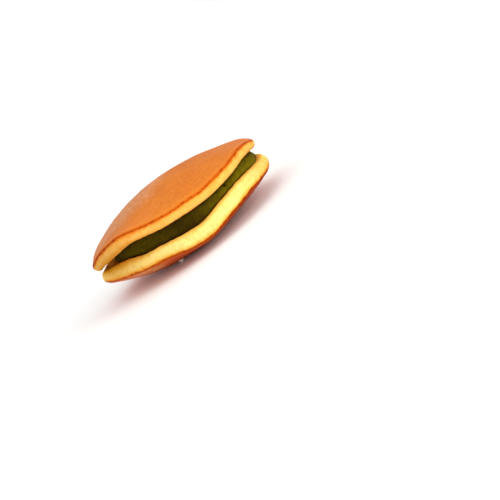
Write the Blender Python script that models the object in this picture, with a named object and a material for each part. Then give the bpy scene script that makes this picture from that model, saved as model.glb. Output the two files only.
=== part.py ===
"""A dorayaki: two griddled sponge cakes, closed like a clam round a mound of green bean paste.

The sweet lies flat on the underside of its lower cake. +X runs along its longest width,
-Y is the open front where most of the paste shows, and Z points up out of the upper cake.
Every piece is a cross-section in radius and height, carried round the vertical axis while
the rim rises, dips and thickens from one compass point to the next.
"""

import math

import bmesh
import bpy
from mathutils import Vector

MM = 0.001

# The upper crust's crown, in millimetres: its height, where it is, and how far it falls to the rim
CROWN_HEIGHT = 33.4
CROWN_X = -1.8
CROWN_DROP = 11.5
CROWN_RADIUS = 46.0
RIM_INFLUENCE = 4.0

# The spot that the lower crust rests on, in millimetres, and how the underside swells up from it
RESTING_RADIUS = 14.3
RESTING_X = -3.1
UNDERSIDE_POWER = 1.5

# Heights of the two faces that hold the paste, on the axis, in millimetres
TOP_INNER_HEIGHT = 23.0
BOTTOM_INNER_HEIGHT = 10.2

# Each measure round a rim, in millimetres: its plain value, and then its swells and dips, each
# with its place and width in degrees and its rise. Places count from the left by the front, 90,
# to the right, 180, and on by the back, 270. The upper rim lifts over the front left, and the
# lower rim sags under the front.
TOP_RADIUS = (45.7, ((0, 35, 1.7), (60, 25, 0.6), (180, 35, 1.2)))
TOP_CRUST_EDGE_HEIGHT = (23.5, ((52, 24, 5.6), (146, 15, 2.2), (183, 16, -2.3), (357, 20, -4.1)))
TOP_LIP_THICKNESS = (5.2, ((0, 10, -0.7), (38, 20, 1.5), (110, 40, 0.6), (187, 22, -1.8), (330, 16, 0.8)))
BOTTOM_RADIUS = (46.3, ((0, 20, 0.8), (150, 50, 1.3)))
BOTTOM_CRUST_EDGE_HEIGHT = (9.3, ((15, 45, 2.6), (95, 24, -4.0), (265, 30, -0.9)))
BOTTOM_LIP_THICKNESS = (5.9, ((0, 10, -0.6), (36, 18, 1.8), (112, 50, 2.2), (335, 15, 0.5)))
PASTE_RADIUS = (39.3, ((0, 40, -3.8), (150, 70, 3.4)))
HALF_TURN = 180

# Shape of the rims, in millimetres where they are lengths
LIP_REACH = 3.4
LIP_SQUARENESS = 2.7
INNER_DISH_POWER = 2.6
PASTE_BULGE = 2.2
PASTE_SQUARENESS = 2.6
CLEARANCE = 0.35

# Rim waves: how many go round, their height in millimetres, and their phase in degrees
RIM_WAVES = ((7, 0.22, 40.0), (11, 0.14, 100.0), (17, 0.07, 15.0))
BOTTOM_WAVE_TURN = 2.0

# How finely the cross-sections are carried round and drawn
STEPS_AROUND = 72
CRUST_STEPS = 9
LIP_STEPS = 7
DISH_STEPS = 5
PASTE_FACE_STEPS = 5
SLOPE_STEP = 0.05
ON_AXIS = 1e-6

CRUST_COLOUR_TOP = (0.80, 0.32, 0.08, 1.0)
CRUST_COLOUR_BOTTOM = (0.62, 0.20, 0.05, 1.0)
PASTE_COLOUR = (0.11, 0.10, 0.012, 1.0)


def swelling(rim, azimuth):
    """One measure of a rim: its plain value, with each swell or dip round its own place."""
    plain, swells = rim
    from_left = math.degrees(azimuth) - HALF_TURN
    value = plain
    for place, width, rise in swells:
        away = (from_left - place + HALF_TURN) % (2 * HALF_TURN) - HALF_TURN
        value += rise * math.exp(-((away / width) ** 2))
    return value


def rim_wave(azimuth, turn):
    """Small uneven rise of a rim, turned by an angle so that no two rims match."""
    return sum(
        height * math.cos(count * (azimuth + turn) - math.radians(phase))
        for count, height, phase in RIM_WAVES
    )


def superellipse_arc(squareness, steps):
    """Points (reach, rise) from (0, 1) round to (0, -1) by way of (1, 0)."""
    points = []
    for k in range(steps + 1):
        angle = math.pi * (0.5 - k / steps)
        reach = abs(math.cos(angle)) ** (2 / squareness)
        rise = math.copysign(abs(math.sin(angle)) ** (2 / squareness), math.sin(angle))
        points.append((reach if 0 < k < steps else 0.0, rise))
    return points


def crown_face(azimuth, radius):
    """Height of the upper crust: a shallow dome that meets the wavy edge at its rim."""
    reach = swelling(TOP_RADIUS, azimuth)
    edge = swelling(TOP_CRUST_EDGE_HEIGHT, azimuth) + rim_wave(azimuth, 0.0)

    def dome(r):
        off_centre = Vector((r * math.cos(azimuth) - CROWN_X, r * math.sin(azimuth)))
        return CROWN_HEIGHT - CROWN_DROP * off_centre.length_squared / CROWN_RADIUS**2

    return dome(radius) + (edge - dome(reach)) * (radius / reach) ** RIM_INFLUENCE


def resting_reach(azimuth):
    """Distance from the axis to the edge of the round spot that the sweet rests on."""
    across = RESTING_X * math.sin(azimuth)
    return RESTING_X * math.cos(azimuth) + math.sqrt(RESTING_RADIUS**2 - across**2)


def underside_face(azimuth, radius):
    """Height of the lower crust: flat where it rests, then swelling up to its edge."""
    start = resting_reach(azimuth)
    edge = swelling(BOTTOM_CRUST_EDGE_HEIGHT, azimuth) + rim_wave(azimuth, BOTTOM_WAVE_TURN)
    share = (radius - start) / (swelling(BOTTOM_RADIUS, azimuth) - start)
    return edge * max(0.0, share) ** UNDERSIDE_POWER


class Cake:
    """One sponge cake: a dished disc with a crusted outer face and a soft rounded lip."""

    def __init__(self, crust, crust_start, outwards, inner_height, radii, lips):
        self.crust = crust
        self.crust_start = crust_start
        self.outwards = outwards
        self.inner_height = inner_height
        self.radii = radii
        self.lips = lips

    def lip(self, azimuth):
        """The rounded rim, from the crusted face round to the inner face."""
        base = swelling(self.radii, azimuth) - LIP_REACH
        height = self.crust(azimuth, base)
        rise = self.crust(azimuth, base + SLOPE_STEP) - self.crust(azimuth, base - SLOPE_STEP)
        along = Vector((2 * SLOPE_STEP, rise)).normalized()
        normal = Vector((-along.y, along.x)) * self.outwards
        half = swelling(self.lips, azimuth) / 2
        centre = Vector((base, height)) - normal * half
        arc = superellipse_arc(LIP_SQUARENESS, LIP_STEPS)
        return [centre + along * LIP_REACH * a + normal * half * b for a, b in arc]

    def inner(self, azimuth, radius):
        """Height of the face that holds the paste."""
        start = self.lip(azimuth)[-1]
        share = (radius / start.x) ** INNER_DISH_POWER
        return self.inner_height + (start.y - self.inner_height) * share

    def section(self, azimuth):
        """The whole cross-section, from the outer centre round the lip to the inner centre."""
        lip = self.lip(azimuth)
        first = self.crust_start(azimuth)
        crust = []
        for k in range(CRUST_STEPS):
            radius = first + (lip[0].x - first) * k / CRUST_STEPS
            crust.append(Vector((radius, self.crust(azimuth, radius))))
        dish = []
        for k in range(1, DISH_STEPS + 1):
            radius = lip[-1].x * (1 - k / DISH_STEPS)
            dish.append(Vector((radius, self.inner(azimuth, radius))))
        return crust + lip + dish


def paste_section(azimuth, top, bottom):
    """The paste fills the dish between the cakes and ends in a bulging face."""
    reach = swelling(PASTE_RADIUS, azimuth)
    shoulder = reach - PASTE_BULGE
    upper = [shoulder * k / PASTE_FACE_STEPS for k in range(PASTE_FACE_STEPS)]
    high = top.inner(azimuth, reach) - CLEARANCE
    low = bottom.inner(azimuth, reach) + CLEARANCE
    middle = Vector((shoulder, (high + low) / 2))
    face = [
        middle + Vector((PASTE_BULGE * a, (high - low) / 2 * b))
        for a, b in superellipse_arc(PASTE_SQUARENESS, LIP_STEPS)
    ]
    above = [Vector((r, top.inner(azimuth, r) - CLEARANCE)) for r in upper]
    below = [Vector((r, bottom.inner(azimuth, r) + CLEARANCE)) for r in reversed(upper)]
    return above + face + below


def carried_round(name, section, material):
    """Carries a cross-section round the axis into one closed mesh object.

    An end of the section on the axis becomes a point, and an end off it a flat round face."""
    mesh = bpy.data.meshes.new(name)
    shell = bmesh.new()
    azimuths = [2 * math.pi * k / STEPS_AROUND for k in range(STEPS_AROUND)]
    columns = [(azimuth, section(azimuth)) for azimuth in azimuths]
    rings = []
    for row in range(len(columns[0][1])):
        places = [
            Vector((p[row].x * math.cos(a), p[row].x * math.sin(a), p[row].y)) * MM
            for a, p in columns
        ]
        on_axis = all(p[row].x < ON_AXIS for _, p in columns)
        rings.append([shell.verts.new(q) for q in (places[:1] if on_axis else places)])
    for upper, lower in zip(rings, rings[1:]):
        for k in range(STEPS_AROUND):
            corners = [
                upper[k % len(upper)],
                lower[k % len(lower)],
                lower[(k + 1) % len(lower)],
                upper[(k + 1) % len(upper)],
            ]
            shell.faces.new(list(dict.fromkeys(corners)))
    for end in (rings[0], rings[-1]):
        if len(end) > 1:
            shell.faces.new(end)
    bmesh.ops.recalc_face_normals(shell, faces=shell.faces)
    shell.to_mesh(mesh)
    shell.free()
    mesh.materials.append(material)
    mesh.shade_smooth()
    piece = bpy.data.objects.new(name, mesh)
    bpy.context.scene.collection.objects.link(piece)
    return piece


def food_material(name, colour, roughness):
    """A plain Principled finish for one kind of food."""
    material = bpy.data.materials.new(name)
    material.use_nodes = True
    shader = material.node_tree.nodes["Principled BSDF"]
    shader.inputs["Base Color"].default_value = colour
    shader.inputs["Roughness"].default_value = roughness
    shader.inputs["Metallic"].default_value = 0.0
    return material


def centre_on_axis(pieces):
    """Slides the meshes so that the whole sweet's middle is over the origin."""
    corners = [v.co for piece in pieces for v in piece.data.vertices]
    middle_x = (min(c.x for c in corners) + max(c.x for c in corners)) / 2
    middle_y = (min(c.y for c in corners) + max(c.y for c in corners)) / 2
    for piece in pieces:
        for vertex in piece.data.vertices:
            vertex.co.x -= middle_x
            vertex.co.y -= middle_y


def main():
    """Builds the upper cake, the paste and the lower cake."""
    for old in list(bpy.data.objects):
        bpy.data.objects.remove(old)

    top = Cake(
        crust=crown_face,
        crust_start=lambda azimuth: 0.0,
        outwards=1,
        inner_height=TOP_INNER_HEIGHT,
        radii=TOP_RADIUS,
        lips=TOP_LIP_THICKNESS,
    )
    bottom = Cake(
        crust=underside_face,
        crust_start=resting_reach,
        outwards=-1,
        inner_height=BOTTOM_INNER_HEIGHT,
        radii=BOTTOM_RADIUS,
        lips=BOTTOM_LIP_THICKNESS,
    )
    cake_top = carried_round(
        "cake_top", top.section, food_material("golden_crust", CRUST_COLOUR_TOP, 0.5)
    )
    cake_bottom = carried_round(
        "cake_bottom", bottom.section, food_material("brown_crust", CRUST_COLOUR_BOTTOM, 0.5)
    )
    paste = carried_round(
        "bean_paste",
        lambda azimuth: paste_section(azimuth, top, bottom),
        food_material("green_paste", PASTE_COLOUR, 0.55),
    )
    centre_on_axis([cake_top, cake_bottom, paste])


main()
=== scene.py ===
# %% [markdown]
# A dorayaki is a pair of small griddled sponge cakes, closed like a clam round sweet bean paste.
# This one is filled with green paste, which shows all along its open front. Its construction,
# with real sizes, is loaded first as a frame of three solids. The cells after that dress each
# solid: Geometry Nodes carry a cross-section round the rim of each cake and roughen it with
# pores, and one set of shader nodes browns the crusts and leaves the crumb pale.

# %% Load the frame
import math

import bpy
from mathutils import Matrix, Vector


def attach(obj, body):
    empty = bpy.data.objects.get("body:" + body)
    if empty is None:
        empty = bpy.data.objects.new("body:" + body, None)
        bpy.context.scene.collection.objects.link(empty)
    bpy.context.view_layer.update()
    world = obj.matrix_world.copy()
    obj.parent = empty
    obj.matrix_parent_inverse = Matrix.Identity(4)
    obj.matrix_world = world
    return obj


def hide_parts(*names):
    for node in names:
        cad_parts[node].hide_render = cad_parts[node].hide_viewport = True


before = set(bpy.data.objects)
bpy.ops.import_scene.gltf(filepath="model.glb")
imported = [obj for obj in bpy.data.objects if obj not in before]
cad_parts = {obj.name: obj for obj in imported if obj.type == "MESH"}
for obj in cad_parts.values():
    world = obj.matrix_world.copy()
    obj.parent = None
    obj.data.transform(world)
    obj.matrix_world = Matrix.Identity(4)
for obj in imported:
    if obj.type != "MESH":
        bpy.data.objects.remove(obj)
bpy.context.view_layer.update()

MM = 0.001
print("solids loaded:", sorted(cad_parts))

# %% [markdown]
# The camera stands low in front of the open side, 8 degrees above the table. In the picture the
# sweet is tipped up, and it could be turned that way here too. But a part that is kept for reuse
# should lie flat, so the sweet lies flat and the camera is rolled instead, which gives the same
# slant. The camera is also turned a little aside, so that the sweet is left of the middle and
# keeps its true perspective.

# %% The camera
VIEW_ELEVATION = 8.0
VIEW_ROLL = 37.9
VIEW_DISTANCE = 600 * MM
AIM_HEIGHT = 17.1 * MM
PICTURE_WIDTH = 500
AIM_COLUMN = 177.4
AIM_ROW = 209.1
MM_PER_PIXEL = 0.453
SENSOR_WIDTH = 36.0


def make_camera():
    """A long lens that sees the aim point at its column and row of the picture."""
    focal_pixels = VIEW_DISTANCE / (MM_PER_PIXEL * MM)
    lens = bpy.data.cameras.new("camera")
    lens.sensor_width = SENSOR_WIDTH
    lens.lens = SENSOR_WIDTH * focal_pixels / PICTURE_WIDTH
    camera = bpy.data.objects.new("camera", lens)
    bpy.context.scene.collection.objects.link(camera)
    elevation = math.radians(VIEW_ELEVATION)
    back = Vector((0, -math.cos(elevation), math.sin(elevation)))
    facing = (-back).to_track_quat("-Z", "Y").to_matrix().to_4x4()
    roll = Matrix.Rotation(-math.radians(VIEW_ROLL), 4, "Z")
    half = PICTURE_WIDTH / 2
    ray = Vector(((AIM_COLUMN - half) / focal_pixels, (half - AIM_ROW) / focal_pixels, -1))
    aside = Vector((0, 0, -1)).rotation_difference(ray).to_matrix().to_4x4().inverted()
    place = Matrix.Translation(Vector((0, 0, AIM_HEIGHT)) + back * VIEW_DISTANCE)
    camera.matrix_world = place @ facing @ roll @ aside
    bpy.context.scene.camera = camera
    return camera


camera = make_camera()
print("lens:", round(camera.data.lens, 1), "mm")

# %% [markdown]
# The pictured sweet is on white under broad soft light, with hardly a shadow. An open sky of
# one colour gives that light, so a white world does most of the work, and it also leaves a pale
# sheen along the crust's far side. One big soft lamp is added at the right of the picture,
# where the paste and the lower rim are brightest.

# %% Floor, world and lamp
FLOOR_WIDTH = 8.0
FLOOR_COLOUR = (0.98, 0.98, 0.98, 1)
FLOOR_ROUGHNESS = 0.9
WORLD_COLOUR = (1.0, 1.0, 1.0, 1)
WORLD_STRENGTH = 1.03
LAMP_DIRECTION = (0.72, -0.62, 0.30)
LAMP_DISTANCE = 0.9
LAMP_WIDTH = 0.5
LAMP_WATTS = 4.5
LAMP_COLOUR = (1.0, 0.98, 0.94)


def plain_material(name, colour, roughness):
    """A material of one colour, for what isn't part of the sweet."""
    material = bpy.data.materials.new(name)
    material.use_nodes = True
    shader = material.node_tree.nodes["Principled BSDF"]
    shader.inputs["Base Color"].default_value = colour
    shader.inputs["Roughness"].default_value = roughness
    return material


def soft_lamp(name):
    """A square area lamp that shines on the sweet from the lamp's direction."""
    light = bpy.data.lights.new(name, "AREA")
    light.size = LAMP_WIDTH
    light.energy = LAMP_WATTS
    light.color = LAMP_COLOUR
    lamp = bpy.data.objects.new(name, light)
    bpy.context.scene.collection.objects.link(lamp)
    lamp.location = Vector(LAMP_DIRECTION).normalized() * LAMP_DISTANCE
    lamp.rotation_euler = lamp.location.to_track_quat("Z", "Y").to_euler()
    return lamp


def make_studio():
    """The white floor and the white surroundings."""
    bpy.ops.mesh.primitive_plane_add(size=FLOOR_WIDTH)
    floor = bpy.context.object
    floor.name = "floor"
    floor.data.materials.append(plain_material("white_table", FLOOR_COLOUR, FLOOR_ROUGHNESS))
    world = bpy.data.worlds.new("white_room")
    world.use_nodes = True
    sky = world.node_tree.nodes["Background"]
    sky.inputs["Color"].default_value = WORLD_COLOUR
    sky.inputs["Strength"].default_value = WORLD_STRENGTH
    bpy.context.scene.world = world
    bpy.context.scene.view_settings.view_transform = "Standard"


make_studio()
lamp = soft_lamp("key_lamp")
print("floor, white world and", lamp.name)

# %% [markdown]
# No two rims of a griddled cake are alike, but each is nearly round, so each measure of a rim
# is a plain value with a few wide swells and dips: the upper rim lifts over the front left
# and dips at both ends, and the lower rim sags under the front. A table of points would
# follow a rim as well, but nobody could change one bump in it by hand.

# %% Shapes of the rims
# Reach, edge height and lip thickness, in millimetres: a plain value, and then swells and dips,
# each with its place and width in degrees and its rise. Places count from the left by the front,
# 90, to the right, 180, and on by the back, 270.
RIM_SHAPES = {
    "top_reach": (45.7, ((0, 35, 1.7), (60, 25, 0.6), (180, 35, 1.2))),
    "top_edge": (23.5, ((52, 24, 5.6), (146, 15, 2.2), (183, 16, -2.3), (357, 20, -4.1))),
    "top_lip": (5.2, ((0, 10, -0.7), (38, 20, 1.5), (110, 40, 0.6), (187, 22, -1.8), (330, 16, 0.8))),
    "bottom_reach": (46.3, ((0, 20, 0.8), (150, 50, 1.3))),
    "bottom_edge": (9.3, ((15, 45, 2.6), (95, 24, -4.0), (265, 30, -0.9))),
    "bottom_lip": (5.9, ((0, 10, -0.6), (36, 18, 1.8), (112, 50, 2.2), (335, 15, 0.5))),
    "paste_reach": (39.5, ((0, 40, -3.8), (150, 70, 3.4))),
}
HALF_TURN = 180


def swelling(rim, azimuth):
    """One measure of a rim: its plain value, with each swell or dip round its own place."""
    plain, swells = rim
    from_left = math.degrees(azimuth) - HALF_TURN
    value = plain
    for place, width, rise in swells:
        away = (from_left - place + HALF_TURN) % (2 * HALF_TURN) - HALF_TURN
        value += rise * math.exp(-((away / width) ** 2))
    return value


print("measures of the rims:", ", ".join(RIM_SHAPES))

# %% [markdown]
# The finish changes round the rim too, so it has readings of its own: how far the browning
# comes round the lip, how much painted shade the crumb gets on each side and towards the paste,
# how far the crust is toasted and shaded, and how much painted light the paste's face gets.
# They go round from the left by the open front, and a smooth closed curve runs through them.

# %% Readings round the rims
# The finish at twelve even compass points: the left, by the front, the right, by the back.
# Browned and lean are in millimetres, and the others are shares from 0 to 1.
READINGS = {
    "top_browned": (0.9, 0.9, 0.5, 0.2, 0.2, 0.6, 0.6, 0.4, 0.3, 0.2, 0.3, 0.5),
    "bottom_browned": (0.6, 0.1, 0.0, 0.1, 0.0, 0.1, 0.3, 0.2, 0.1, 0.2, 0.1, 0.3),
    # Painted shade on the crumb, side by side, for each cake
    "top_golden": (0.8, 1.0, 0.3, 0.0, 0.0, 0.8, 1.0, 0.5, 0.5, 0.5, 0.3, 0.3),
    "bottom_golden": (0.4, 1.0, 0.35, 0.0, 0.1, 0.9, 1.0, 0.6, 0.5, 0.5, 0.3, 0.3),
    # How far deeper painted shade comes out over the lip towards the paste
    "top_deep": (0.3, 0.75, 0.35, 0.0, 0.1, 0.3, 0.4, 0.2, 0.2, 0.2, 0.1, 0.1),
    "bottom_deep": (0.8, 1.0, 0.4, 0.1, 0.0, 0.0, 0.1, 0.2, 0.2, 0.2, 0.1, 0.1),
    # Darker crust: toasting, and painted shade on the shaded sides
    "top_toast_and_shade": (0.6, 0.5, 0.1, 0.0, 0.1, 0.5, 0.7, 0.4, 0.3, 0.3, 0.4, 0.5),
    "bottom_toast_and_shade": (0.2, 0.0, 0.0, 0.5, 1.0, 0.9, 0.7, 0.6, 0.4, 0.3, 0.2, 0.2),
    "paste_lean": (0.2, 0.3, 0.3, 0.4, 1.4, 2.0, 1.6, 1.0, 0.8, 0.6, 0.5, 0.3),
    # Painted light on the paste's face: 0 is painted shade, 1 is painted light
    "paste_painted_light": (0.20, 0.50, 0.36, 0.04, 0.60, 0.84, 0.5, 0.4, 0.3, 0.2, 0.2, 0.3),
}


def around(readings, azimuth):
    """Reads values given at even steps round the rim, on a smooth closed curve through them."""
    count = len(readings)
    place = ((azimuth - math.pi) / (2 * math.pi) % 1.0) * count
    at = int(place) % count
    t = place - int(place)
    before, here, there, after = (readings[(at + k) % count] for k in (-1, 0, 1, 2))
    leaving = (there - before) / 2
    arriving = (after - here) / 2
    return (
        here * (2 * t**3 - 3 * t**2 + 1)
        + leaving * (t**3 - 2 * t**2 + t)
        + there * (3 * t**2 - 2 * t**3)
        + arriving * (t**3 - t**2)
    )


print("readings of the finish:", ", ".join(READINGS))

# %% [markdown]
# A few small waves on top keep an edge from looking drawn with a compass. The values for
# every column of the later grid are written on a ring of loose points, where node trees can
# look them up.

# %% A ring of points that carries them
# Waves round a rim: how many, how high in millimetres, and their phase in degrees
EDGE_WAVES = ((7, 0.22, 40.0), (11, 0.14, 100.0), (17, 0.07, 15.0))
PASTE_WAVES = ((13, 0.25, 60.0), (21, 0.22, 200.0), (34, 0.14, 10.0))
# The turn of each rim's waves, in radians, so that the two crusts' edges don't match
WAVES = {
    "top_edge": (EDGE_WAVES, 0.0),
    "bottom_edge": (EDGE_WAVES, 2.0),
    "paste_reach": (PASTE_WAVES, 0.0),
}
NO_WAVES = ((), 0.0)
COLUMNS = 900


def wave(waves, turn, azimuth):
    """Small uneven rise and fall round a rim."""
    return sum(
        height * math.cos(count * (azimuth + turn) - math.radians(phase))
        for count, height, phase in waves
    )


def rim_readings():
    """Loose points in a ring, one for each column, that carry the readings as attributes."""
    azimuths = [2 * math.pi * k / COLUMNS for k in range(COLUMNS)]
    mesh = bpy.data.meshes.new("rim_readings")
    mesh.from_pydata([(math.cos(a), math.sin(a), 0) for a in azimuths], [], [])
    measures = {name: [swelling(rim, a) for a in azimuths] for name, rim in RIM_SHAPES.items()}
    measures.update({name: [around(row, a) for a in azimuths] for name, row in READINGS.items()})
    for name, plain in measures.items():
        waves, turn = WAVES.get(name, NO_WAVES)
        values = [value + wave(waves, turn, a) for value, a in zip(plain, azimuths)]
        layer = mesh.attributes.new(name, "FLOAT", "POINT")
        layer.data.foreach_set("value", values)
    return mesh


RIM = rim_readings()
print("columns:", COLUMNS, "with readings:", sorted([*RIM_SHAPES, *READINGS]))

# %% [markdown]
# Node trees can hold formulas, but a screenful of Math nodes is hard to read or write. So a
# small class stands for one value in a tree. Plain arithmetic on it adds the Math nodes, and
# the rules for shapes and colours below read like ordinary sums. It works alike in geometry
# trees and in shader trees. First come the two helpers that add nodes and feed their inputs.

# %% Adding and feeding nodes
def feed(tree, socket, value):
    """Links a value, or another node's output, to a socket, or sets a plain number on it."""
    if isinstance(value, Value):
        tree.links.new(value.socket, socket)
    elif isinstance(value, bpy.types.NodeSocket):
        tree.links.new(value, socket)
    else:
        socket.default_value = value


def add_node(tree, kind, feeds=None, **settings):
    """Adds a node, with its settings and with what its inputs are fed."""
    node = tree.nodes.new(kind)
    for setting, value in settings.items():
        setattr(node, setting, value)
    for socket, value in (feeds or {}).items():
        feed(tree, node.inputs[socket], value)
    return node


print("node helpers ready:", feed.__name__, add_node.__name__)

# %% [markdown]
# The class comes next. Blender's own clamp and easing could each be a node too, but as methods
# they are named once and then read like plain words.

# %% Values in a node tree
def maths(tree, operation, *values):
    """One Math node, fed with values or plain numbers."""
    node = add_node(tree, "ShaderNodeMath", dict(enumerate(values)), operation=operation)
    return Value(tree, node.outputs[0])


class Value:
    """A number that a node gives. Sums with other values or numbers add nodes to its tree."""

    def __init__(self, tree, socket):
        self.tree = tree
        self.socket = socket

    def maths(self, operation, *others):
        return maths(self.tree, operation, self, *others)

    def __add__(self, other):
        return self.maths("ADD", other)

    def __sub__(self, other):
        return self.maths("SUBTRACT", other)

    def __rsub__(self, other):
        return maths(self.tree, "SUBTRACT", other, self)

    def __mul__(self, other):
        return self.maths("MULTIPLY", other)

    def __truediv__(self, other):
        return self.maths("DIVIDE", other)

    def __rtruediv__(self, other):
        return maths(self.tree, "DIVIDE", other, self)

    def __pow__(self, other):
        return self.maths("POWER", other)

    __radd__ = __add__
    __rmul__ = __mul__

    def clamped(self):
        return self.maths("MAXIMUM", 0.0).maths("MINIMUM", 1.0)

    def above(self, limit):
        """One where the value is above a limit, and nothing elsewhere."""
        return self.maths("GREATER_THAN", limit)

    def eased(self, low, high):
        """Rises smoothly from 0 to 1 as the value goes from low to high."""
        share = ((self - low) / (high - low)).clamped()
        return share * share * (3.0 - 2.0 * share)


def mix(share, first, second):
    """From the first value to the second as the share goes from 0 to 1."""
    return first + share * (second - first)


print("value class ready:", Value.__name__)

# %% [markdown]
# A geometry tree gets named inputs, so that whoever opens the file can still change the sizes.
# The modifier keeps its inputs under each socket's identifier and not under its name, so the
# inputs are looked up and set before Blender evaluates the object for the first time. The
# finished mesh is then copied out, and neither the ring nor the modifier is kept.

# %% Geometry trees and their results
def geometry_tree(name, inputs):
    """A tree that takes the ring of readings and some named numbers."""
    tree = bpy.data.node_groups.new(name, "GeometryNodeTree")
    tree.interface.new_socket("Geometry", in_out="INPUT", socket_type="NodeSocketGeometry")
    tree.interface.new_socket("Geometry", in_out="OUTPUT", socket_type="NodeSocketGeometry")
    for label in inputs:
        tree.interface.new_socket(label, in_out="INPUT", socket_type="NodeSocketFloat")
    source = tree.nodes.new("NodeGroupInput")
    return tree, source.outputs["Geometry"], {
        label: Value(tree, source.outputs[label]) for label in inputs
    }


def grown_piece(name, tree, inputs):
    """Runs a tree on the ring of readings and returns its result as a plain mesh object."""
    ring = bpy.data.objects.new(name + "_ring", RIM)
    bpy.context.scene.collection.objects.link(ring)
    modifier = ring.modifiers.new("grow", "NODES")
    modifier.node_group = tree
    for item in tree.interface.items_tree:
        if item.in_out == "INPUT" and item.name in inputs:
            modifier[item.identifier] = float(inputs[item.name])
    depsgraph = bpy.context.evaluated_depsgraph_get()
    mesh = bpy.data.meshes.new_from_object(ring.evaluated_get(depsgraph))
    bpy.data.objects.remove(ring)
    mesh.name = name
    piece = bpy.data.objects.new(name, mesh)
    bpy.context.scene.collection.objects.link(piece)
    return piece


def finish_tree(tree, geometry, material):
    """Smooth shading, real geometry and the material end every tree."""
    smooth = add_node(tree, "GeometryNodeSetShadeSmooth", {"Geometry": geometry})
    real = add_node(tree, "GeometryNodeRealizeInstances", {"Geometry": smooth.outputs[0]})
    painted = add_node(tree, "GeometryNodeSetMaterial", {"Geometry": real.outputs[0]})
    painted.inputs["Material"].default_value = material
    out = tree.nodes.new("NodeGroupOutput")
    tree.links.new(painted.outputs[0], out.inputs[0])


def stored(tree, geometry, name, value):
    """Keeps a value on the points under a name, for later nodes and for the material."""
    node = add_node(
        tree, "GeometryNodeStoreNamedAttribute", {"Geometry": geometry, "Name": name},
        data_type="FLOAT", domain="POINT",
    )
    feed(tree, node.inputs["Value"], value)
    return node.outputs[0]


def named(tree, name):
    """A value that was stored under a name."""
    node = add_node(tree, "GeometryNodeInputNamedAttribute", {"Name": name}, data_type="FLOAT")
    return Value(tree, node.outputs["Attribute"])


def noise(tree, place, wavelength, seed, detail=2.0):
    """Smooth noise from about -1 to 1, with bumps of a given width in millimetres."""
    node = add_node(
        tree, "ShaderNodeTexNoise",
        {"Vector": place, "Scale": 1 / (wavelength * MM), "Detail": detail},
        noise_dimensions="4D",
    )
    feed(tree, node.inputs["W"], seed)
    return Value(tree, node.outputs[0]) * 2.0 - 1.0


print("tree helpers ready:", geometry_tree.__name__, grown_piece.__name__)

# %% [markdown]
# Every piece here is a grid rolled into a closed skin. Its columns go round the axis and its
# rows run along a cross-section. This cell makes that grid, tells each point its row and its
# azimuth, and looks up the ring's readings for its column. Columns wrap, so the last one lands
# exactly on the first, and merging closes the seam and both poles.

# %% A grid of columns and rows
SEAM_DISTANCE = 0.002


def rolled_grid(tree, ring, rows):
    """The flat grid, the row and azimuth of its points, and a function for the readings."""
    grid = add_node(tree, "GeometryNodeMeshGrid", {
        "Size X": 1.0, "Size Y": 1.0, "Vertices X": COLUMNS + 1, "Vertices Y": rows + 1,
    })
    place = add_node(tree, "GeometryNodeInputPosition").outputs[0]
    split = add_node(tree, "ShaderNodeSeparateXYZ", {"Vector": place})
    column = ((Value(tree, split.outputs["X"]) + 0.5) * COLUMNS).maths("ROUND")
    column = column.maths("MODULO", float(COLUMNS))
    row = ((0.5 - Value(tree, split.outputs["Y"])) * rows).maths("ROUND")
    azimuth = column * (2 * math.pi / COLUMNS)

    def reading(name):
        node = add_node(
            tree, "GeometryNodeSampleIndex", {"Geometry": ring}, data_type="FLOAT"
        )
        feed(tree, node.inputs["Value"], named(tree, name))
        feed(tree, node.inputs["Index"], column)
        return Value(tree, node.outputs[0])

    return grid.outputs["Mesh"], row, azimuth, reading


def placed(tree, geometry, radius, height, azimuth):
    """Moves the grid to its radius and height, in millimetres, and closes the skin."""
    spot = add_node(tree, "ShaderNodeCombineXYZ", {
        "X": radius * azimuth.maths("COSINE") * MM,
        "Y": radius * azimuth.maths("SINE") * MM,
        "Z": height * MM,
    })
    moved = add_node(
        tree, "GeometryNodeSetPosition", {"Geometry": geometry, "Position": spot.outputs[0]}
    )
    closed = add_node(
        tree, "GeometryNodeMergeByDistance",
        {"Geometry": moved.outputs[0], "Distance": SEAM_DISTANCE * MM},
    )
    return closed.outputs[0]


def raised(tree, geometry, height):
    """Moves every point along its normal by a height in millimetres."""
    normal = add_node(tree, "GeometryNodeInputNormal").outputs[0]
    along = add_node(
        tree, "ShaderNodeVectorMath", {0: normal, "Scale": height * MM}, operation="SCALE"
    )
    moved = add_node(
        tree, "GeometryNodeSetPosition", {"Geometry": geometry, "Offset": along.outputs[0]}
    )
    return moved.outputs[0]


def rounded_end(share, squareness):
    """Reach and rise of a squarish rounded end: from its top, by its tip, to its bottom."""
    angle = (0.5 - share) * math.pi
    sine = angle.maths("SINE")
    reach = angle.maths("COSINE").maths("ABSOLUTE") ** (2 / squareness)
    rise = sine.maths("ABSOLUTE") ** (2 / squareness) * sine.maths("SIGN")
    return reach, rise


print("grid helpers ready:", rolled_grid.__name__, placed.__name__, raised.__name__)

# %% [markdown]
# Each cake is a shallow dish: a browned outer face, a soft rounded lip, and an inner face that
# holds the paste. It could be sculpted, but the same rule holds all round, so the tree carries
# the cross-section round the rim. The outer face ends at the lip with some slope, and the lip
# is set square to that slope, so that it turns down or up with the crust. The upper crust is a
# low dome, a little off centre, which bends near the rim to meet the edge's readings. The
# lower crust is flat where it rests and swells up from there to its edge.

# %% The cakes' cross-section
# Lengths, heights and places are in millimetres
LIP_REACH = 3.4
LIP_SQUARENESS = 2.7
INNER_DISH_POWER = 2.6
SLOPE_STEP = 0.05
CROWN_X = -1.8
CROWN_RADIUS = 46.0
RIM_INFLUENCE = 4.0
RESTING_X = -3.1
UNDERSIDE_POWER = 1.5


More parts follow.
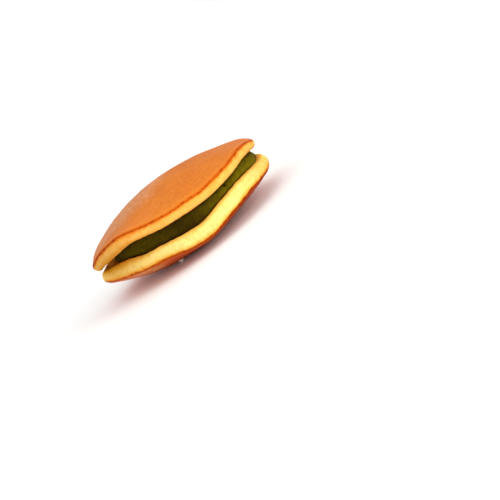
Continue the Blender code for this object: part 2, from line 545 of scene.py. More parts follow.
def crown(azimuth, reading, sizes):
    """The rule for the upper crust's height at a radius."""
    cosine, sine = azimuth.maths("COSINE"), azimuth.maths("SINE")
    steepness = sizes["Crown drop"] / CROWN_RADIUS**2
    reach = reading("top_reach")

    def dome(radius):
        x = radius * cosine - CROWN_X
        y = radius * sine
        return sizes["Crown height"] - (x * x + y * y) * steepness

    lift = reading("top_edge") - dome(reach)
    return lambda radius: dome(radius) + lift * (radius / reach) ** RIM_INFLUENCE


def underside(azimuth, reading, sizes):
    """The rule for the lower crust's height at a radius."""
    cosine, sine = azimuth.maths("COSINE"), azimuth.maths("SINE")
    across = sine * RESTING_X
    flat = cosine * RESTING_X + (sizes["Resting radius"] ** 2.0 - across * across) ** 0.5
    swelling = reading("bottom_reach") - flat
    edge = reading("bottom_edge")

    def height(radius):
        share = ((radius - flat) / swelling).maths("MAXIMUM", 0.0)
        return edge * share**UNDERSIDE_POWER

    return height


class Profile:
    """One cake's cross-section at every column. It faces up (1) or down (-1)."""

    def __init__(self, crust, reach, lip, facing, inner_height):
        self.crust = crust
        self.facing = facing
        self.inner_height = inner_height
        self.base = reach - LIP_REACH
        self.half = lip / 2.0
        run = crust(self.base + SLOPE_STEP) - crust(self.base - SLOPE_STEP)
        slope = run / (2 * SLOPE_STEP)
        length = (slope * slope + 1.0) ** 0.5
        self.along = (1.0 / length, slope / length)
        self.normal = (self.along[1] * -facing, self.along[0] * facing)
        self.centre = (
            self.base - self.normal[0] * self.half,
            crust(self.base) - self.normal[1] * self.half,
        )
        self.inner_end = self.lip_point(0.0, -1.0)

    def lip_point(self, reach, rise):
        """A point of the rounded lip."""
        return tuple(
            middle + along * (reach * LIP_REACH) + normal * (self.half * rise)
            for middle, along, normal in zip(self.centre, self.along, self.normal)
        )

    def inner(self, radius):
        """Height of the face that holds the paste."""
        end_radius, end_height = self.inner_end
        share = (radius / end_radius) ** INNER_DISH_POWER
        return self.inner_height + (end_height - self.inner_height) * share


def top_profile(azimuth, reading, sizes):
    """The upper cake's cross-section."""
    return Profile(
        crown(azimuth, reading, sizes), reading("top_reach"), reading("top_lip"),
        1, sizes["Roof height"],
    )


def bottom_profile(azimuth, reading, sizes):
    """The lower cake's cross-section."""
    return Profile(
        underside(azimuth, reading, sizes), reading("bottom_reach"), reading("bottom_lip"),
        -1, sizes["Bed height"],
    )


SIZES = {
    "Crown height": 33.4,
    "Crown drop": 11.5,
    "Roof height": 23.0,
    "Resting radius": 14.3,
    "Bed height": 10.2,
}
print("sizes in millimetres:", SIZES)

# %% [markdown]
# A griddled crust is smooth and a little wavy, while the crumb at the lip is soft and full of
# small bubbles. The relief is made in the mesh, so that it also shows in the outline. Broad soft
# swells go over everything. The crust stands slightly proud of the crumb as a skin, with a faint
# grain. The crumb has lumps, grain and pores, from a Voronoi pattern where only some of the
# cells become holes. The relief fades out deep inside, where the paste touches the cakes, and on
# the spot that the sweet rests on. It follows the surface normals, so the tree for the cake that
# faces down turns its faces to look outwards first.

# %% Relief of crust and crumb
# Widths and distances are in millimetres
PORE_SPACING = 1.3
PORE_WIDTH_SHARE = 0.42
PORED_SHARE = 0.5
SHALLOWEST_PORE_SHARE = 0.3
SWELL_WIDTH = 12.0
LUMP_WIDTH = 3.4
GRAIN_WIDTH = 1.6
SKIN_EASE = 0.35
CRUST_GRAIN_SHARE = 0.3
FADE_OUTSIDE_PASTE = (-1.0, 1.5)
FADE_ABOVE_TABLE = (0.1, 2.0)


def pores(tree, place, seed):
    """Depth from 0 to 1 of round pores, in some of the cells of a Voronoi pattern."""
    cells = add_node(
        tree, "ShaderNodeTexVoronoi", {"Vector": place, "Scale": 1 / (PORE_SPACING * MM)},
        voronoi_dimensions="4D",
    )
    feed(tree, cells.inputs["W"], seed)
    random = add_node(tree, "ShaderNodeSeparateXYZ", {"Vector": cells.outputs["Color"]})
    deep = mix(Value(tree, random.outputs["X"]), SHALLOWEST_PORE_SHARE, 1.0)
    closed = Value(tree, random.outputs["Y"]).above(PORED_SHARE)
    outside = Value(tree, cells.outputs["Distance"]).eased(0.0, PORE_WIDTH_SHARE)
    return (1.0 - outside) * (1.0 - closed) * deep


def sponge_relief(tree, relief):
    """How far each point of a cake stands out or in, in millimetres."""
    place = add_node(tree, "GeometryNodeInputPosition").outputs[0]
    split = add_node(tree, "ShaderNodeSeparateXYZ", {"Vector": place})
    from_edge = named(tree, "from_edge")
    crust = from_edge.eased(-SKIN_EASE, SKIN_EASE)
    swell = noise(tree, place, SWELL_WIDTH, relief["Seed"]) * relief["Swell"]
    lumps = noise(tree, place, LUMP_WIDTH, relief["Seed"]) * relief["Lumps"]
    grain = noise(tree, place, GRAIN_WIDTH, relief["Seed"]) * relief["Grain"]
    holes = pores(tree, place, relief["Seed"]) * relief["Pore depth"]
    crumb = lumps + grain - holes
    height = swell + crust * (grain * CRUST_GRAIN_SHARE + relief["Skin"]) + (1.0 - crust) * crumb
    bare = named(tree, "from_paste").eased(*FADE_OUTSIDE_PASTE)
    off_table = (Value(tree, split.outputs["Z"]) / MM).eased(*FADE_ABOVE_TABLE)
    return height * bare * off_table


RELIEF = {
    "Seed": 1.0, "Swell": 0.35, "Skin": 0.08, "Lumps": 0.35, "Grain": 0.16, "Pore depth": 0.42,
}
print("relief in millimetres:", RELIEF)

# %% [markdown]
# Now the tree for a cake. Its rows are shared out over crust, lip and inner face, and they are
# closest on the lip, where pores need them. Two distances are stored for later: how far a
# point is from the browned edge along the section, above zero on the crust and below zero on
# the crumb, and how far it is outside the paste. The material also gets each point's place on
# the lip and the readings of the finish.

# %% The cakes' tree
CRUST_ROWS = 34
LIP_ROWS = 56
DISH_ROWS = 18
DISH_ROW_CROWDING = 1.6
BROWNED_SHARE_OF_LIP = 0.25


def cake_tree(cake, profile_at, sizes, relief, material):
    """A tree that carries one cake's cross-section round the axis and roughens it."""
    tree, ring, inputs = geometry_tree(cake + "_cake", {**sizes, **relief})
    grid, row, azimuth, reading = rolled_grid(tree, ring, CRUST_ROWS + LIP_ROWS + DISH_ROWS)
    profile = profile_at(azimuth, reading, inputs)
    crust_share = (row / CRUST_ROWS).clamped()
    lip_share = ((row - CRUST_ROWS) / LIP_ROWS).clamped()
    dish_share = ((row - (CRUST_ROWS + LIP_ROWS)) / DISH_ROWS).clamped()

    crust_radius = profile.base * crust_share
    lip_radius, lip_height = profile.lip_point(*rounded_end(lip_share, LIP_SQUARENESS))
    end_radius, _ = profile.inner_end
    dish_radius = end_radius * (1.0 - dish_share**DISH_ROW_CROWDING)

    on_lip = row.above(CRUST_ROWS - 0.5)
    on_dish = row.above(CRUST_ROWS + LIP_ROWS + 0.5)
    radius = mix(on_dish, mix(on_lip, crust_radius, lip_radius), dish_radius)
    outer_height = mix(on_lip, profile.crust(crust_radius), lip_height)
    height = mix(on_dish, outer_height, profile.inner(dish_radius))

    lip_length = profile.half * 2.0 + 2 * LIP_REACH
    from_edge = (BROWNED_SHARE_OF_LIP - lip_share) * lip_length
    from_edge = from_edge + (profile.base - crust_radius) - (end_radius - dish_radius)
    on_crust_or_lip = (1.0 - on_dish) * profile.base
    geometry = stored(tree, grid, "from_edge", from_edge + reading(cake + "_browned"))
    outside = dish_radius + on_crust_or_lip - reading("paste_reach")
    geometry = stored(tree, geometry, "from_paste", outside)
    geometry = stored(tree, geometry, "lip_share", lip_share)
    # Readings for painted shade on the crumb, for how far deeper painted shade reaches, and for
    # toasting and painted shade on the crust
    for look in ("golden", "deep", "toast_and_shade"):
        geometry = stored(tree, geometry, look, reading(cake + "_" + look))
    geometry = placed(tree, geometry, radius, height, azimuth)
    if profile.facing < 0:
        geometry = add_node(tree, "GeometryNodeFlipFaces", {"Mesh": geometry}).outputs[0]
    geometry = raised(tree, geometry, sponge_relief(tree, inputs))
    finish_tree(tree, geometry, material)
    return tree


print("rows along a cake's section:", CRUST_ROWS + LIP_ROWS + DISH_ROWS)

# %% [markdown]
# Colour is what tells crust from crumb. Painting it by hand would need a picture for each cake,
# and it would have to be done again after every change of shape. Shader nodes on the stored
# distances follow the shape by themselves. These helpers make the common steps: a ramp of
# colours measured in millimetres, a tint, a blend, and a bump map for what is too small for the
# mesh.

# %% Helpers for materials
RAMP_START = -14.0
RAMP_END = 26.0


def principled(name):
    """A new material with its tree and its shader."""
    material = bpy.data.materials.new(name)
    material.use_nodes = True
    tree = material.node_tree
    return material, tree, tree.nodes["Principled BSDF"]


def attribute(tree, name):
    """A value that the geometry tree stored on the mesh."""
    node = add_node(tree, "ShaderNodeAttribute", attribute_name=name)
    return Value(tree, node.outputs["Fac"])


def colour_ramp(tree, value, bands):
    """Colour at a distance in millimetres, from a list of distances with their colours."""
    ramp = tree.nodes.new("ShaderNodeValToRGB")
    feed(tree, ramp.inputs[0], (value - RAMP_START) / (RAMP_END - RAMP_START))
    stops = ramp.color_ramp.elements
    while len(stops) < len(bands):
        stops.new(1.0)
    for stop, (distance, colour) in zip(stops, bands):
        stop.position = (distance - RAMP_START) / (RAMP_END - RAMP_START)
        stop.color = (*colour, 1)
    return ramp.outputs["Color"]


def blended(tree, colour, strength, other, blend_type="MIX"):
    """A colour that goes over to another as the strength goes from 0 to 1."""
    node = add_node(
        tree, "ShaderNodeMix", {"Factor": strength}, data_type="RGBA", blend_type=blend_type
    )
    feed(tree, node.inputs["A"], colour)
    feed(tree, node.inputs["B"], (*other, 1))
    return node.outputs["Result"]


def tinted(tree, colour, strength, tint):
    """A colour multiplied by a tint where the strength is 1, and left alone where it is 0."""
    return blended(tree, colour, strength, tint, "MULTIPLY")


def bumped(tree, shader, height, millimetres):
    """Gives a shader fine relief, with a height from 0 to 1 that stands for millimetres."""
    bump = add_node(
        tree, "ShaderNodeBump", {"Strength": 1.0, "Distance": millimetres * MM, "Height": height}
    )
    feed(tree, shader.inputs["Normal"], bump.outputs["Normal"])


def far_from(tree, place, spot):
    """How far each point is from a spot, in millimetres."""
    node = add_node(tree, "ShaderNodeVectorMath", {0: place}, operation="DISTANCE")
    node.inputs[1].default_value = Vector(spot) * MM
    return Value(tree, node.outputs["Value"]) / MM


print("material helpers ready, for distances from", RAMP_START, "to", RAMP_END, "mm")

# %% [markdown]
# A griddled surface is uneven at every scale, from the broad patches where the batter met the
# pan to specks under a millimetre. Each kind of unevenness is one noise pattern. Together they
# stand in one table, so that their widths can be compared with a ruler on the real thing.

# %% Patterns of noise
# Width of a patch in millimetres, seed, detail, and the noise where a patch starts and is full
PATTERNS = {
    "patches": (11.0, 3.0, 4.0, -0.4, 0.6),
    "specks": (1.5, 5.0, 4.0, -0.15, 0.25),
    "sheen_streaks": (2.4, 6.0, 4.0, -0.2, 0.2),
    "dark_flecks": (1.1, 6.5, 1.0, -0.1, 0.3),
    "highlight_flecks": (1.6, 7.5, 3.0, 0.05, 0.30),
    "scorch": (1.8, 10.0, 2.0, 0.0, 0.3),
    "crumb_clouds": (3.0, 8.0, 3.0, -0.2, 0.4),
    "crumb_grains": (1.1, 9.0, 2.0, -0.1, 0.4),
    "near_crust": (2.6, 11.0, 3.0, 0.0, 0.3),
    "paste_clumps": (2.8, 21.0, 3.0, -0.4, 0.4),
    "paste_flecks": (1.3, 25.0, 3.0, -0.15, 0.25),
}


def pattern(tree, place, name, seed=0.0):
    """Patches of noise: 1 inside them and 0 outside, with soft edges."""
    width, own_seed, detail, start, full = PATTERNS[name]
    return noise(tree, place, width, seed + own_seed, detail).eased(start, full)


print("patterns:", ", ".join(PATTERNS))

# %% [markdown]
# The ramps give the colour at each distance from the browned edge. A real crust has a darker
# line at its very edge, where the batter was thinnest on the griddle, and it is mottled further
# in. The crumb is pale, and towards the paste it turns a darker gold, which is partly painted
# shade of the gap between the cakes. The upper crust is orange brown with a pale crumb, and the
# lower one is redder with a yellower crumb, so each cake has its own look.

# %% Looks of the two cakes
# Distances from the browned edge in millimetres, crust above zero, and the colours there
TOP_BANDS = (
    # towards the paste the crumb darkens to gold, partly painted shade
    (-14.0, (0.85, 0.33, 0.020)),
    (-10.0, (0.88, 0.38, 0.030)),
    (-7.0, (0.93, 0.47, 0.090)),
    (-4.0, (0.96, 0.51, 0.110)),
    (-1.8, (0.96, 0.48, 0.098)),
    (-0.7, (0.90, 0.31, 0.035)),
    (0.1, (0.54, 0.080, 0.002)),
    (0.8, (0.52, 0.080, 0.002)),
    (1.7, (0.67, 0.175, 0.013)),
    (2.8, (0.74, 0.226, 0.025)),
    (6.0, (0.70, 0.212, 0.027)),
    (26.0, (0.66, 0.200, 0.027)),
)
BOTTOM_BANDS = (
    # towards the paste the crumb darkens to gold, partly painted shade
    (-14.0, (0.96, 0.39, 0.022)),
    (-10.5, (0.96, 0.45, 0.040)),
    (-8.0, (0.95, 0.64, 0.160)),
    (-5.4, (0.96, 0.74, 0.240)),
    (-2.6, (0.96, 0.74, 0.250)),
    (-1.0, (0.95, 0.58, 0.120)),
    (-0.2, (0.80, 0.28, 0.025)),
    (0.4, (0.50, 0.100, 0.004)),
    (1.0, (0.45, 0.070, 0.004)),
    (3.0, (0.71, 0.133, 0.025)),
    (26.0, (0.60, 0.113, 0.024)),
)
# Tints, and lengths and places in millimetres: how wide the line of toasting and painted shade is,
# and where the painted sheen lies
TOP_LOOK = {
    "bands": TOP_BANDS,
    "mottle": (0.91, 0.82, 0.72),
    # painted shade on the crumb's shaded sides
    "golden": (0.75, 0.81, 0.95),
    "near_crust": (0.95, 0.76, 0.50),
    # width of the line of toasting and painted shade at the crust's edge
    "line": 3.0,
    # where the painted sheen lies, how far it reaches, and where it starts
    "sheen_at": (-21.0, 5.0, 31.0),
    "sheen_reach": 32.0,
    "sheen_start": 2.0,
    "seed": 2.0,
}
BOTTOM_LOOK = {
    "bands": BOTTOM_BANDS,
    "mottle": (0.82, 0.74, 0.70),
    # painted shade on the crumb's shaded sides
    "golden": (0.80, 0.65, 0.48),
    "near_crust": (0.95, 0.84, 0.66),
    # width of the band of toasting and painted shade on the underside
    "line": 24.0,
    # where the painted sheen lies, how far it reaches, and where it starts
    "sheen_at": (-33.0, -32.0, 8.0),
    "sheen_reach": 18.0,
    "sheen_start": 0.7,
    "seed": 11.0,
}
print("bands of colour:", len(TOP_BANDS), "above and", len(BOTTOM_BANDS), "below")

# %% [markdown]
# The crust isn't one brown. Part of it gets a paler painted sheen, with streaks, painted
# highlight flecks and dark flecks, its edge is scorched in small spots, and some sides are
# darker, from toasting and from painted shade. Each of these is a mask from 0 to 1, made from
# the distances, the readings and the noise patterns, and each mask tints or blends the colour a
# little.

# %% Colour of the crust
# Distances from the browned edge in millimetres, and tints and colours
INNER_CRUST = (1.0, 5.0)
SCORCH_STARTS = (-1.1, -0.2)
SCORCH_ENDS = (0.9, 2.4)
SCORCH_TINT = (0.74, 0.56, 0.40)
SPECK_TINT = (0.93, 0.86, 0.76)
# Toasting and painted shade on the crust's darker sides
TOAST_AND_SHADE_TINT = (0.58, 0.41, 0.22)
TOAST_AND_SHADE_INSIDE = 0.35
# The painted sheen: a paler colour where light glances off the crust
SHEEN_WANDER = ((9.0, 4.0), (4.0, 4.0))
PAINTED_SHEEN_COLOUR = (0.66, 0.260, 0.080)
THINNEST_SHEEN = 0.5
FLECK_STRETCH = (1.0, 0.42, 1.0)
DARK_FLECK_TINT = (0.90, 0.85, 0.78)
# Painted highlight flecks in the sheen
HIGHLIGHT_FLECK_COLOUR = (0.86, 0.52, 0.32)
HIGHLIGHT_FLECK_STRENGTH = 0.25


def painted_sheen_mask(tree, place, distance, look):
    """One in the middle of the crust's painted sheen, which has a ragged edge."""
    far = far_from(tree, place, look["sheen_at"])
    for wavelength, reach in SHEEN_WANDER:
        far = far + noise(tree, place, wavelength, look["seed"] + 1.0) * reach
    inside = distance.eased(look["sheen_start"], look["sheen_start"] * 4)
    return far.eased(look["sheen_reach"], look["sheen_reach"] / 2) * inside


def with_painted_sheen(tree, place, colour, painted_sheen, seed):
    """Lays the painted sheen, its painted highlight flecks and its dark flecks over a colour. They
    are drawn out from front to back.
    """
    drawn = add_node(
        tree, "ShaderNodeVectorMath", {0: place, 1: FLECK_STRETCH}, operation="MULTIPLY"
    ).outputs["Vector"]
    # painted sheen in streaks, with painted highlight flecks and dark flecks
    sheen_strength = mix(pattern(tree, drawn, "sheen_streaks", seed), THINNEST_SHEEN, 1.0)
    painted_light = pattern(tree, drawn, "highlight_flecks", seed) * HIGHLIGHT_FLECK_STRENGTH
    colour = blended(tree, colour, painted_sheen * sheen_strength, PAINTED_SHEEN_COLOUR)
    colour = tinted(tree, colour, painted_sheen * pattern(tree, drawn, "dark_flecks", seed), DARK_FLECK_TINT)
    return blended(tree, colour, painted_sheen * painted_light, HIGHLIGHT_FLECK_COLOUR)


def with_crust(tree, place, colour, distance, crust, painted_sheen, look):
    """Adds to a colour mottles, specks, toasting and scorching from the griddle, and painted sheen
    and painted shade.
    """
    seed = look["seed"]
    inner_crust = distance.eased(*INNER_CRUST)
    colour = tinted(tree, colour, pattern(tree, place, "patches", seed) * inner_crust, look["mottle"])
    colour = tinted(tree, colour, pattern(tree, place, "specks", seed) * inner_crust, SPECK_TINT)
    colour = with_painted_sheen(tree, place, colour, painted_sheen, seed)
    # toasting and painted shade, strongest along the edge line
    line = 1.0 - distance.eased(look["line"] / 2, look["line"])
    toast_and_shade = attribute(tree, "toast_and_shade") * crust * mix(line, TOAST_AND_SHADE_INSIDE, 1.0)
    colour = tinted(tree, colour, toast_and_shade, TOAST_AND_SHADE_TINT)
    edge = distance.eased(*SCORCH_STARTS) * (1.0 - distance.eased(*SCORCH_ENDS))
    return tinted(tree, colour, pattern(tree, place, "scorch", seed) * edge, SCORCH_TINT)


print("tints of the crust:", SPECK_TINT, TOAST_AND_SHADE_TINT, SCORCH_TINT)

# %% [markdown]
# The crumb is softer in colour. It is cloudy and grainy, and a little browner close to the
# crust. Painted shade darkens it on the shaded sides, and deeper painted shade turns it golden
# towards the paste. Where that deeper shade begins along the lip, and how strong it is, go by the
# reading for that side. The inner face, which the paste touches, keeps the ramp's own colour.

# %% Colour of the crumb
# Shares of the lip, or of the strength, for a side with a reading of 0 and for one of 1
# Where deeper painted shade starts and is full along the lip, and how strong it is
DEEP_SHADE_STARTS = (0.58, 0.40)
DEEP_SHADE_IS_FULL = (0.74, 0.64)
DEEP_SHADE_STRENGTH = (0.35, 1.0)
INNER_FACE_STARTS = (0.88, 1.0)
NEAR_CRUST = (-3.0, -1.2)
# Colour of the deeper painted shade towards the paste
DEEP_SHADE_TINT = (0.83, 0.58, 0.12)
CRUMB_TINT = (0.95, 0.88, 0.74)


def with_crumb(tree, place, colour, distance, crust, look):
    """Adds to a colour what shows at the lip: painted shade on some sides and towards the paste,
    clouds and grains.
    """
    seed = look["seed"]
    depth = attribute(tree, "lip_share")
    deep = attribute(tree, "deep")
    crumb = (1.0 - crust) * (1.0 - depth.eased(*INNER_FACE_STARTS))
    # deeper painted shade towards the paste, by the reading for each side
    deep_shade = depth.eased(mix(deep, *DEEP_SHADE_STARTS), mix(deep, *DEEP_SHADE_IS_FULL)) * mix(deep, *DEEP_SHADE_STRENGTH)
    near_crust = distance.eased(*NEAR_CRUST) * pattern(tree, place, "near_crust", seed)
    # painted shade on the shaded sides of the crumb
    colour = tinted(tree, colour, attribute(tree, "golden") * crumb, look["golden"])
    # deeper painted shade towards the paste
    colour = tinted(tree, colour, deep_shade * crumb, DEEP_SHADE_TINT)
    colour = tinted(tree, colour, pattern(tree, place, "crumb_clouds", seed) * crumb, CRUMB_TINT)
    colour = tinted(tree, colour, near_crust * crumb, look["near_crust"])
    return tinted(tree, colour, pattern(tree, place, "crumb_grains", seed) * crumb, CRUMB_TINT)


print("gold starts at", DEEP_SHADE_STARTS, "of the lip, for a side with little and with much of it")

# %% [markdown]
# One material function then serves both cakes. The stored distance from the browned edge wanders
# a little with noise first, so that the line is never even. The crust is smoother than the
# crumb, but it isn't shiny, and the crumb lets some light in, which subsurface scattering gives.

# %% Materials of the cakes
# Widths, reaches, depths and distances are in millimetres
EDGE_WANDER = ((8.0, 0.35), (3.0, 0.55), (1.3, 0.45))
CRUST_EASE = (-0.6, 0.4)
CRUMB_ROUGHNESS = 0.8
CRUST_ROUGHNESS = 0.5
PLAIN_SHEEN = 0.02
SHEEN_PATCH_SPECULAR = 0.06
CRUMB_SCATTER = 0.25
SCATTER_COLOUR = (1.0, 0.55, 0.2)
SCATTER_DEPTH = 1.2
FINE_WIDTH = 0.7
FINE_DEPTH = 0.2
CRUMB_FINENESS = 0.5
CRUST_FINENESS = 0.3


def sponge_material(name, look):
    """Browned crust, its edge line and pale crumb, all on one skin."""
    material, tree, shader = principled(name)
    place = add_node(tree, "ShaderNodeTexCoord").outputs["Object"]
    distance = attribute(tree, "from_edge")
    for wavelength, reach in EDGE_WANDER:
        distance = distance + noise(tree, place, wavelength, look["seed"]) * reach
    crust = distance.eased(*CRUST_EASE)
    # mask of the painted sheen
    painted_sheen = painted_sheen_mask(tree, place, distance, look)

    colour = colour_ramp(tree, distance, look["bands"])
    colour = with_crust(tree, place, colour, distance, crust, painted_sheen, look)
    colour = with_crumb(tree, place, colour, distance, crust, look)
    feed(tree, shader.inputs["Base Color"], colour)
    feed(tree, shader.inputs["Roughness"], mix(crust, CRUMB_ROUGHNESS, CRUST_ROUGHNESS))
    feed(tree, shader.inputs["Specular IOR Level"], mix(painted_sheen, PLAIN_SHEEN, SHEEN_PATCH_SPECULAR))
    feed(tree, shader.inputs["Subsurface Weight"], (1.0 - crust) * CRUMB_SCATTER)
    shader.inputs["Subsurface Radius"].default_value = SCATTER_COLOUR
    shader.inputs["Subsurface Scale"].default_value = SCATTER_DEPTH * MM
    fine = noise(tree, place, FINE_WIDTH, look["seed"] + 7.0, 3.0)
    bumped(tree, shader, fine * mix(crust, CRUMB_FINENESS, CRUST_FINENESS) + 0.5, FINE_DEPTH)
    return material


top_skin = sponge_material("golden_sponge", TOP_LOOK)
bottom_skin = sponge_material("brown_sponge", BOTTOM_LOOK)
print("materials:", top_skin.name, bottom_skin.name)

# %% [markdown]
# With the rules in place, each cake is one call. The two cakes could share one tree, but the
# rules for their outer faces differ, so each gets its own, with the same named inputs for the
# relief. Their seeds differ, so that no swell or pore of one is above the same one of the other.

# %% The two cakes
TOP_SIZES = {label: SIZES[label] for label in ("Crown height", "Crown drop", "Roof height")}
BOTTOM_SIZES = {label: SIZES[label] for label in ("Resting radius", "Bed height")}
TOP_RELIEF = {**RELIEF, "Seed": 4.0}
BOTTOM_RELIEF = {**RELIEF, "Seed": 9.0}

crown_tree = cake_tree("top", top_profile, TOP_SIZES, TOP_RELIEF, top_skin)
cake_top = grown_piece("sponge_top", crown_tree, {**TOP_SIZES, **TOP_RELIEF})
base_tree = cake_tree("bottom", bottom_profile, BOTTOM_SIZES, BOTTOM_RELIEF, bottom_skin)
cake_bottom = grown_piece("sponge_bottom", base_tree, {**BOTTOM_SIZES, **BOTTOM_RELIEF})
for piece in (cake_top, cake_bottom):
    print(piece.name, "faces:", len(piece.data.polygons))

# %% [markdown]
# The paste fills the dish between the cakes. It is pressed out a little by their weight, so its
# face bulges and is never even. Clay-like stuff is often sculpted, but here noise does well:
# coarse noise on the face gives the dents left by the spatula, and fine noise the grain of mashed
# beans. One small dent near the roof is deeper than the rest, as in the picture, and the material
# paints shade into it.

# %% The paste's relief
# Widths and places are in millimetres
DENT_WIDTH = 5.0
PASTE_GRAIN_WIDTH = 0.9
PIT_PLACE = (21.8, -35.3, 17.6)
PIT_EDGES = (0.2, 1.3)


def paste_relief(tree, relief):
    """How far the paste's face stands out or in, in millimetres."""
    place = add_node(tree, "GeometryNodeInputPosition").outputs[0]
    dents = noise(tree, place, DENT_WIDTH, relief["Seed"]) * relief["Dents"]
    grain = noise(tree, place, PASTE_GRAIN_WIDTH, relief["Seed"], 1.0) * relief["Grain"]
    return (dents + grain - named(tree, "pit") * relief["Pit depth"]) * named(tree, "face")


def pit(tree):
    """One in the middle of the deep dent, and nothing outside it."""
    place = add_node(tree, "GeometryNodeInputPosition").outputs[0]
    return 1.0 - far_from(tree, place, PIT_PLACE).eased(*PIT_EDGES)


PASTE_RELIEF = {"Seed": 6.0, "Dents": 0.45, "Grain": 0.12, "Pit depth": 1.3}
print("the paste's relief in millimetres:", PASTE_RELIEF)

# %% [markdown]
# The tree takes the heights of roof and bed from the same rules as the cakes, so the paste fits
# between them by itself, and only a hair's breadth is left free. Its section is flat rows under
# the roof, a rounded face and rows on the bed. The face leans back a little, by the readings,
# because the lower cake reaches further than the upper one.

# %% The paste's tree
# Lengths are in millimetres
PASTE_BULGE = 2.2
PASTE_SQUARENESS = 2.6
PASTE_CLEARANCE = 0.05
ROOF_ROWS = 16
FACE_ROWS = 60
BED_ROWS = 16


def paste_tree(name, sizes, relief, material):
    """A tree that fills the space between the cakes."""
    tree, ring, inputs = geometry_tree(name, {**sizes, **relief})
    grid, row, azimuth, reading = rolled_grid(tree, ring, ROOF_ROWS + FACE_ROWS + BED_ROWS)
    roof = top_profile(azimuth, reading, inputs)
    bed = bottom_profile(azimuth, reading, inputs)
    reach = reading("paste_reach")
    lean = reading("paste_lean")
    shoulder = reach - PASTE_BULGE
    foot = shoulder + lean / 2.0

    roof_radius = (shoulder - lean / 2.0) * (row / ROOF_ROWS).clamped()
    face_share = ((row - ROOF_ROWS) / FACE_ROWS).clamped()
    bed_share = ((row - (ROOF_ROWS + FACE_ROWS)) / BED_ROWS).clamped()
    bed_radius = foot * (1.0 - bed_share)
    high = roof.inner(reach) - PASTE_CLEARANCE
    low = bed.inner(reach) + PASTE_CLEARANCE
    out, rise = rounded_end(face_share, PASTE_SQUARENESS)
    face_height = (high + low) / 2.0 + (high - low) / 2.0 * rise
    face_radius = shoulder + out * PASTE_BULGE - lean / 2.0 * rise

    on_face = row.above(ROOF_ROWS - 0.5)
    on_bed = row.above(ROOF_ROWS + FACE_ROWS + 0.5)
    radius = mix(on_bed, mix(on_face, roof_radius, face_radius), bed_radius)
    over_bed = mix(on_face, roof.inner(roof_radius) - PASTE_CLEARANCE, face_height)
    height = mix(on_bed, over_bed, bed.inner(bed_radius) + PASTE_CLEARANCE)

    geometry = stored(tree, grid, "face", out * on_face * (1.0 - on_bed))
    # painted light and shade on the paste's face, from the readings
    geometry = stored(tree, geometry, "painted_light", reading("paste_painted_light"))
    geometry = stored(tree, geometry, "face_share", face_share)
    geometry = placed(tree, geometry, radius, height, azimuth)
    geometry = stored(tree, geometry, "pit", pit(tree))
    geometry = raised(tree, geometry, paste_relief(tree, inputs))
    finish_tree(tree, geometry, material)
    return tree


print("rows along the paste's section:", ROOF_ROWS + FACE_ROWS + BED_ROWS)

# %% [markdown]
# The paste's colour has painted light and shade: a dark olive in painted shade in the middle of
# the open front and a lighter green in painted light towards the ends, and the readings mix the
# two. Clumps and flecks of bean skin break up the colour. The upper part of the face gets painted
# shade, close under the upper cake.

# %% The paste, with its material
# The paste in painted shade and in painted light
SHADED_PASTE = (0.044, 0.027, 0.0018)
LIT_PASTE = (0.170, 0.134, 0.0012)
CLUMP_TINT = (0.72, 0.70, 0.80)
BEAN_SKIN_TINT = (0.84, 0.82, 0.90)
# Painted shade close under the upper cake
ROOF_SHADE_TINT = (0.46, 0.48, 0.60)
ROOF_SHADE_ENDS = (0.20, 0.62)
LIT_ENOUGH = (0.0, 0.6)
# Painted shade in the deep dent
PIT_SHADE_TINT = (0.10, 0.10, 0.10)
PASTE_ROUGHNESS = 0.6
PASTE_SHEEN = 0.01
MASH_WIDTH = 0.5
MASH_DEPTH = 0.25


def paste_material():
    """Grainy olive paste, with painted light and shade: darker and browner where the reading paints
    shade.
    """
    material, tree, shader = principled("green_paste")
    place = add_node(tree, "ShaderNodeTexCoord").outputs["Object"]
    # painted light and shade on the paste
    painted_light = attribute(tree, "painted_light")
    # painted shade on the upper part of the face
    roof_shade = 1.0 - attribute(tree, "face_share").eased(*ROOF_SHADE_ENDS)
    colour = blended(tree, (*SHADED_PASTE, 1), painted_light, LIT_PASTE)
    colour = tinted(tree, colour, pattern(tree, place, "paste_clumps"), CLUMP_TINT)
    colour = tinted(tree, colour, pattern(tree, place, "paste_flecks"), BEAN_SKIN_TINT)
    # painted shade under the upper cake, where the face gets painted light
    colour = tinted(tree, colour, roof_shade * painted_light.eased(*LIT_ENOUGH), ROOF_SHADE_TINT)
    # painted shade in the deep dent
    colour = tinted(tree, colour, attribute(tree, "pit"), PIT_SHADE_TINT)
    feed(tree, shader.inputs["Base Color"], colour)
    shader.inputs["Roughness"].default_value = PASTE_ROUGHNESS
    shader.inputs["Specular IOR Level"].default_value = PASTE_SHEEN
    mash = noise(tree, place, MASH_WIDTH, 23.0, 3.0)
    bumped(tree, shader, mash * 0.5 + 0.5, MASH_DEPTH)
    return material


filling_tree = paste_tree("filling", SIZES, PASTE_RELIEF, paste_material())
paste = grown_piece("paste", filling_tree, {**SIZES, **PASTE_RELIEF})
print(paste.name, "faces:", len(paste.data.polygons))

# %% [markdown]
# A crumb or two always sticks to a handled sponge. They could be scattered by a tree, but there
# are only two, and their places are known. Each is a small lump of the pale crumb: a round mesh
# pushed in and out by two waves, which is enough at its size.

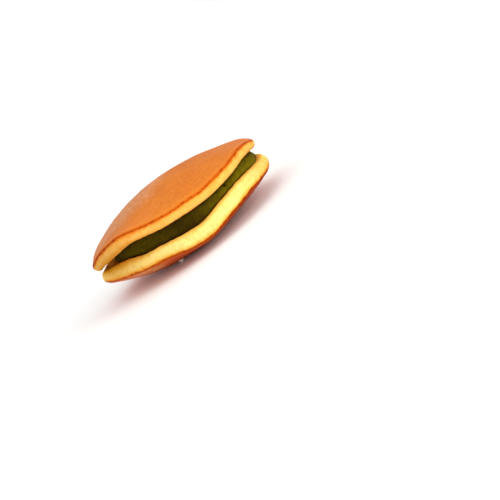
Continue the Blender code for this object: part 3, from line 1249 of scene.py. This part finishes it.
# %% Loose crumbs that stick to the sweet
# Places and radii are in millimetres
CRUMBS = (((-12.4, -20.8, 1.35), 0.95), ((-11.2, -21.2, 1.7), 0.5))
CRUMB_LUMPS = 3
LUMP_HEIGHTS = (0.14, 0.12)
CRUMB_COLOUR = (0.97, 0.93, 0.82, 1)


def lumpy_ball(name, spot, radius, material):
    """A small closed lump with a few bulges."""
    bpy.ops.mesh.primitive_ico_sphere_add(subdivisions=4, radius=radius * MM)
    lump = bpy.context.object
    lump.name = name
    for vertex in lump.data.vertices:
        x, y, z = (component / (radius * MM) * CRUMB_LUMPS for component in vertex.co)
        waves = (math.sin(x + 2 * y), math.cos(2 * z - x))
        vertex.co *= 1.0 + sum(height * up for height, up in zip(LUMP_HEIGHTS, waves))
    lump.data.transform(Matrix.Translation(Vector(spot) * MM))
    lump.data.materials.append(material)
    lump.data.shade_smooth()
    return lump


crumb_material = plain_material("pale_crumb", CRUMB_COLOUR, CRUMB_ROUGHNESS)
crumbs = [
    lumpy_ball(f"crumb_{k}", spot, radius, crumb_material)
    for k, (spot, radius) in enumerate(CRUMBS, 1)
]
print("crumbs:", len(crumbs))

# %% [markdown]
# The rims don't reach equally far on all sides, so the sweet is slid until the middle of its
# box is over the origin, where its construction has it. Then every piece is tied to the frame:
# it moves with the one body, and each cake and the paste stand for a solid, which is hidden.

# %% Tie the pieces to the frame
MADE = (
    (cake_top, "cake_top", "golden_brown_sponge"),
    (paste, "bean_paste", "green_bean_paste"),
    (cake_bottom, "cake_bottom", "brown_sponge"),
)


def slide_to_middle(pieces):
    """Slides the meshes together, so that the middle of their box is over the origin."""
    corners = [vertex.co for piece in pieces for vertex in piece.data.vertices]
    middle_x = (min(c.x for c in corners) + max(c.x for c in corners)) / 2
    middle_y = (min(c.y for c in corners) + max(c.y for c in corners)) / 2
    for piece in pieces:
        piece.data.transform(Matrix.Translation((-middle_x, -middle_y, 0)))
    return middle_x, middle_y


slid = slide_to_middle([piece for piece, _, _ in MADE] + crumbs)
print("slid by", [round(-part / MM, 2) for part in slid], "mm")
for piece, node, slot in MADE:
    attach(piece, "root")
    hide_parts(node)
for crumb in crumbs:
    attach(crumb, "root")
print("pieces tied:", len(MADE) + len(crumbs))
